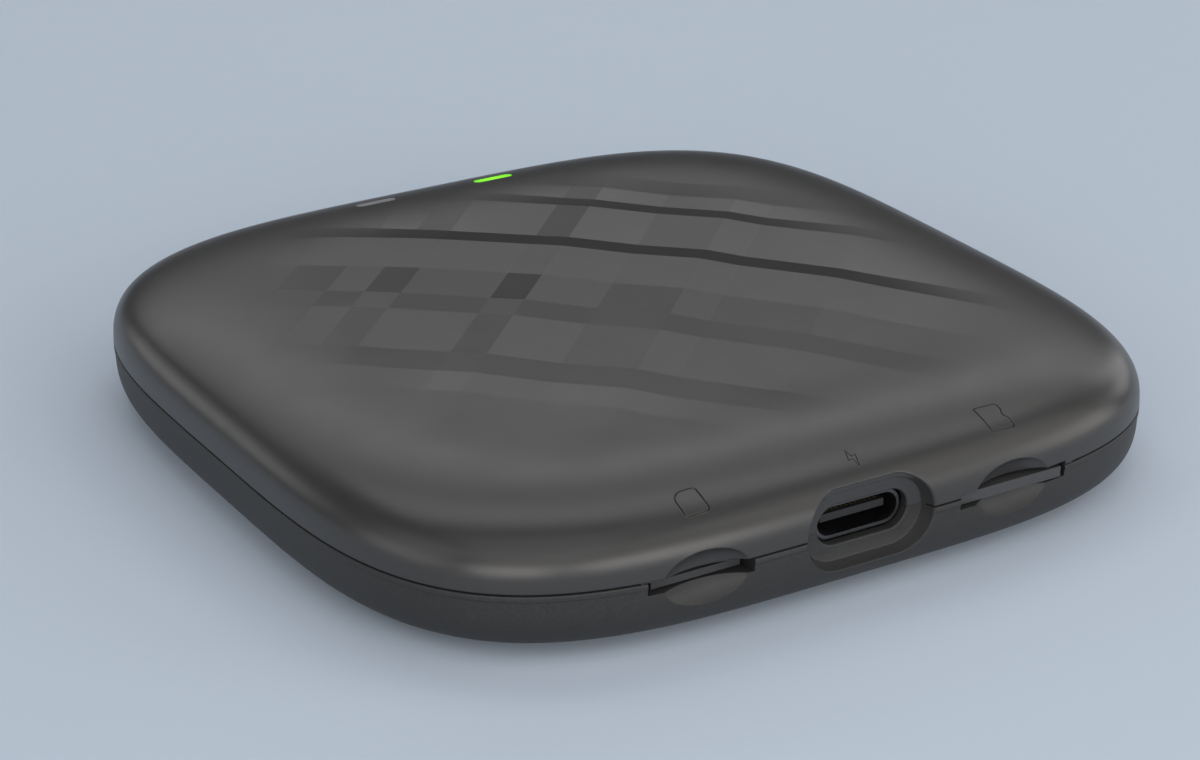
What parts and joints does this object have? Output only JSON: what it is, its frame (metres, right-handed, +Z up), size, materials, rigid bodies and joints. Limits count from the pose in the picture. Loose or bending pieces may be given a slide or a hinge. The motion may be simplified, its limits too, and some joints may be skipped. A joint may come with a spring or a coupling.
{
  "type": "mobile hotspot",
  "caption": "Palm-sized rounded-square mobile hotspot, with a USB-C socket between a SIM slot and a memory card slot, and two status lights.",
  "frame": {"origin": "middle of the underside, in the plane the rubber pad stands on", "axes": "+X right, -Y the front with the sockets, +Z up"},
  "size_m": [0.084, 0.084, 0.013],
  "materials": {
    "lid_plastic": "satin",
    "tray_plastic": "fine texture",
    "silicone_rubber": "matte",
    "steel": "satin",
    "dark_nickel": "satin",
    "light_bar_unlit": "translucent",
    "light_bar_lit": "translucent, lit green",
    "black_plastic": "matte",
    "led_package": "matte",
    "circuit_board": "gloss",
    "gold_plate": "polished",
    "white_plastic": "matte",
    "spring_steel": "bright",
    "card_plastic": "matte",
    "dark_card_plastic": "matte",
    "chip_resin": "matte",
    "tinned_steel": "satin",
    "thermal_silicone": "matte",
    "aluminium": "brushed",
    "antenna_laminate": "matte",
    "cable_jacket": "satin",
    "ceramic": "matte",
    "ferrite": "matte"
  },
  "bodies": {
    "case": {"top_shell": "lid_plastic", "bottom_shell": "tray_plastic", "base_pad": "silicone_rubber", "case_screws": "steel", "light_bar_left": "light_bar_unlit", "light_bar_right": "light_bar_lit", "light_baffle": "black_plastic", "status_leds": "led_package", "main_board": "circuit_board", "usb_c_shell": "dark_nickel", "usb_c_insulator": "black_plastic", "usb_c_contacts": "gold_plate", "sim_socket_base": "black_plastic", "sim_socket_cover": "steel", "sim_socket_contacts": "gold_plate", "sim_spring": "spring_steel", "sim_cam_pin": "spring_steel", "tf_socket_base": "black_plastic", "tf_socket_cover": "steel", "tf_socket_contacts": "gold_plate", "tf_spring": "spring_steel", "tf_cam_pin": "spring_steel", "processor_chip": "chip_resin", "memory_chip": "chip_resin", "flash_chip": "chip_resin", "modem_chip": "chip_resin", "power_chip": "chip_resin", "processor_shield": "tinned_steel", "radio_shield": "tinned_steel", "crystal": "tinned_steel", "thermal_pad": "thermal_silicone", "heat_spreader": "aluminium", "antenna_left": "antenna_laminate", "antenna_right": "antenna_laminate", "coax_left": "cable_jacket", "coax_right": "cable_jacket", "coax_plugs": "gold_plate", "wifi_antennas": "ceramic", "power_inductors": "ferrite", "capacitors": "ceramic"},
    "sim_slider": {"sim_slider": "white_plastic"},
    "sim_card": {"sim_card": "card_plastic", "sim_card_pads": "gold_plate"},
    "tf_slider": {"tf_slider": "white_plastic"},
    "tf_card": {"tf_card": "dark_card_plastic", "tf_card_pads": "gold_plate"}
  },
  "joints": [
    {"name": "sim_slider_push", "type": "slide", "parent": "case", "child": "sim_slider", "axis": [0, -1, 0], "range_m": [-0.0006, 0.003], "deforming": ["sim_spring"]},
    {"name": "sim_card_pull", "type": "slide", "parent": "sim_slider", "child": "sim_card", "axis": [0, -1, 0], "range_m": [0, 0.0115]},
    {"name": "tf_slider_push", "type": "slide", "parent": "case", "child": "tf_slider", "axis": [0, -1, 0], "range_m": [-0.0006, 0.003], "deforming": ["tf_spring"]},
    {"name": "tf_card_pull", "type": "slide", "parent": "tf_slider", "child": "tf_card", "axis": [0, -1, 0], "range_m": [0, 0.014]}
  ]
}
